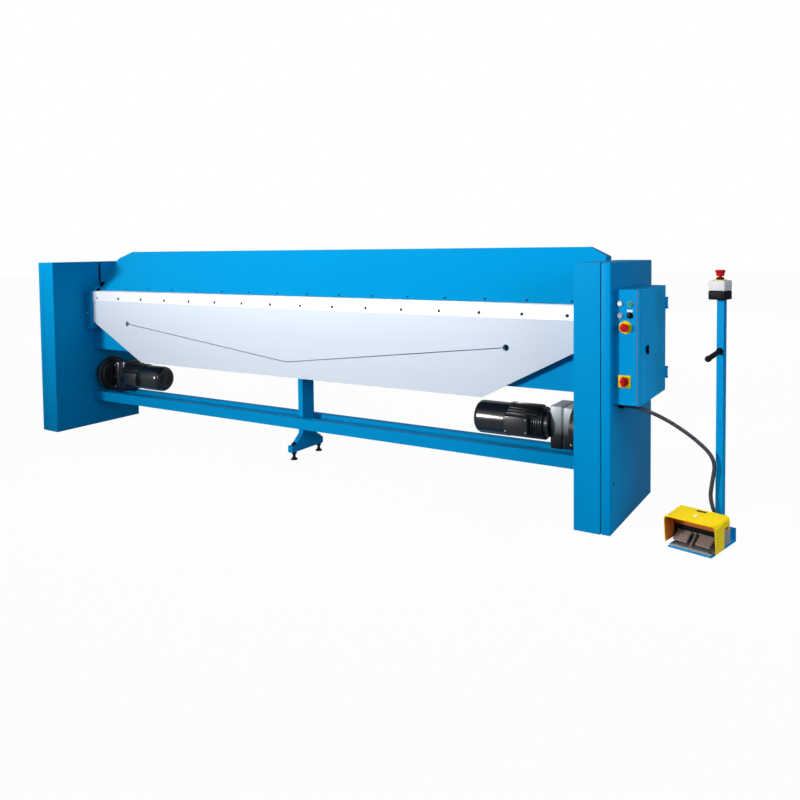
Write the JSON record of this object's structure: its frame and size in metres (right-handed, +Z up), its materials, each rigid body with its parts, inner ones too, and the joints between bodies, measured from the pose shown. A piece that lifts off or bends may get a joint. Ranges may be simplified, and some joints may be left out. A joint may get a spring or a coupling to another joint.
{
  "type": "motorised sheet metal folder",
  "caption": "Motor-driven sheet metal folding machine with folding beam, lifting clamp beam, gearmotors, control cabinet and foot switch stand.",
  "frame": {"origin": "on the floor, at the centre of the four anchor holes in the side frames' feet", "axes": "+X along the folding beam to the cabinet side, +Y to the back of the machine, +Z up; the operator stands at -Y"},
  "size_m": [4.8717, 0.81, 1.35],
  "materials": {
    "frame_paint": "semi-gloss blue enamel",
    "plate_steel": "ground bright steel",
    "rail_steel": "machined bright steel",
    "dark_steel": "blackened steel",
    "drive_black": "near-black enamel",
    "black_plastic": "moulded black",
    "pale_plastic": "moulded pale grey",
    "white_plastic": "moulded white",
    "green_plastic": "moulded green",
    "grey_plastic": "moulded grey",
    "red_plastic": "moulded red",
    "yellow_plastic": "moulded yellow",
    "hood_yellow": "yellow powder coat",
    "cast_grey": "cast, grey",
    "pedal_grey": "cast, textured",
    "zinc": "zinc plated",
    "cable_jacket": "dark grey conduit"
  },
  "bodies": {
    "machine": {"bed_beam": "frame_paint", "bed_blade": "plate_steel", "button_collars": "black_plastic", "cabinet_box": "frame_paint", "cable_glands": "black_plastic", "centre_post": "frame_paint", "conduit_cable": "cable_jacket", "contactors": "pale_plastic", "crossbars": "frame_paint", "device_rail": "zinc", "drive_chains": "dark_steel", "fan_cowls": "drive_black", "gearcases": "drive_black", "left_frame": "frame_paint", "left_outer_cover": "frame_paint", "levelling_bolts": "dark_steel", "lift_barrels": "drive_black", "main_switch_plate": "yellow_plastic", "motors": "drive_black", "mounting_panel": "zinc", "pedal_base": "cast_grey", "pedal_hood": "hood_yellow", "pivot_bearings": "dark_steel", "right_frame": "frame_paint", "right_outer_cover": "frame_paint", "stand_base": "frame_paint", "stand_grip": "black_plastic", "stand_mast": "frame_paint", "stop_box_base": "black_plastic", "stop_box_cover": "pale_plastic", "stop_disc": "yellow_plastic", "switch_housing": "cast_grey", "terminal_boxes": "drive_black", "terminal_strip": "pale_plastic"},
    "fold_beam": {"fold_plate": "plate_steel", "fold_rail": "rail_steel", "rail_screws": "dark_steel", "fold_edge_bar": "rail_steel", "left_fold_arm": "frame_paint", "right_fold_arm": "frame_paint", "pivot_shafts": "rail_steel", "fold_sprockets": "dark_steel"},
    "left_drive": {"left_drive_sprocket": "dark_steel"},
    "right_drive": {"right_drive_sprocket": "dark_steel"},
    "clamp_assembly": {"clamp_beam": "frame_paint", "clamp_blade": "frame_paint", "blade_screws": "dark_steel", "slide_blocks": "frame_paint", "lift_rods": "rail_steel"},
    "door": {"cabinet_door": "frame_paint"},
    "latch": {"door_latch": "black_plastic"},
    "white_push": {"white_button": "white_plastic"},
    "green_push": {"green_button": "green_plastic"},
    "grey_push": {"grey_button": "grey_plastic"},
    "selector": {"selector_knob": "black_plastic"},
    "cabinet_stop_head": {"cabinet_stop": "red_plastic"},
    "switch_handle": {"main_switch": "red_plastic"},
    "stand_stop_head": {"stand_stop": "red_plastic"},
    "pedal_left": {"left_pedal": "pedal_grey"},
    "pedal_right": {"right_pedal": "pedal_grey"}
  },
  "joints": [
    {"name": "fold_swing", "type": "hinge", "parent": "machine", "child": "fold_beam", "pos_m": [0, -0.04, 1.053], "axis": [-1, 0, 0], "range_deg": [0, 135]},
    {"name": "left_drive_turn", "type": "hinge", "parent": "machine", "child": "left_drive", "pos_m": [-2.066, 0.055, 0.395], "axis": [-1, 0, 0], "range_deg": [0, 270]},
    {"name": "right_drive_turn", "type": "hinge", "parent": "machine", "child": "right_drive", "pos_m": [2.066, 0.055, 0.395], "axis": [-1, 0, 0], "range_deg": [0, 270]},
    {"name": "clamp_lift", "type": "slide", "parent": "machine", "child": "clamp_assembly", "axis": [0, 0, 1], "range_m": [0, 0.1]},
    {"name": "door_swing", "type": "hinge", "parent": "machine", "child": "door", "pos_m": [2.309, 0.161, 0.8835], "axis": [0, 0, 1], "range_deg": [0, 34]},
    {"name": "latch_turn", "type": "hinge", "parent": "door", "child": "latch", "pos_m": [2.305, -0.224, 0.866], "axis": [1, 0, 0], "range_deg": [0, 90]},
    {"name": "white_press", "type": "slide", "parent": "machine", "child": "white_push", "axis": [0, 1, 0], "range_m": [0, 0.004], "stiffness_N_per_m": 800, "springref_m": -0.003},
    {"name": "green_press", "type": "slide", "parent": "machine", "child": "green_push", "axis": [0, 1, 0], "range_m": [0, 0.004], "stiffness_N_per_m": 800, "springref_m": -0.003},
    {"name": "grey_press", "type": "slide", "parent": "machine", "child": "grey_push", "axis": [0, 1, 0], "range_m": [0, 0.004], "stiffness_N_per_m": 800, "springref_m": -0.003},
    {"name": "selector_turn", "type": "hinge", "parent": "machine", "child": "selector", "pos_m": [2.258, -0.335, 1.032], "axis": [0, -1, 0], "range_deg": [-45, 45]},
    {"name": "cabinet_stop_press", "type": "slide", "parent": "machine", "child": "cabinet_stop_head", "axis": [0, 1, 0], "range_m": [0, 0.005], "stiffness_N_per_m": 800, "springref_m": -0.003},
    {"name": "main_switch_turn", "type": "hinge", "parent": "machine", "child": "switch_handle", "pos_m": [2.234, -0.335, 0.726], "axis": [0, 1, 0], "range_deg": [0, 90]},
    {"name": "stand_stop_press", "type": "slide", "parent": "machine", "child": "stand_stop_head", "axis": [0, 0, -1], "range_m": [0, 0.005], "stiffness_N_per_m": 800, "springref_m": -0.003},
    {"name": "left_pedal_press", "type": "hinge", "parent": "machine", "child": "pedal_left", "pos_m": [2.46784, -0.26931, 0.056], "axis": [0.9744, -0.225, 0], "range_deg": [0, 8], "stiffness_Nm_per_rad": 3, "springref_deg": -11.46},
    {"name": "right_pedal_press", "type": "hinge", "parent": "machine", "child": "pedal_right", "pos_m": [2.5682, -0.29248, 0.056], "axis": [0.9744, -0.225, 0], "range_deg": [0, 8], "stiffness_Nm_per_rad": 3, "springref_deg": -11.46}
  ],
  "couplings": [
    {"joint": "left_drive_turn", "follows": "fold_swing", "ratio": 2},
    {"joint": "right_drive_turn", "follows": "fold_swing", "ratio": 2}
  ]
}
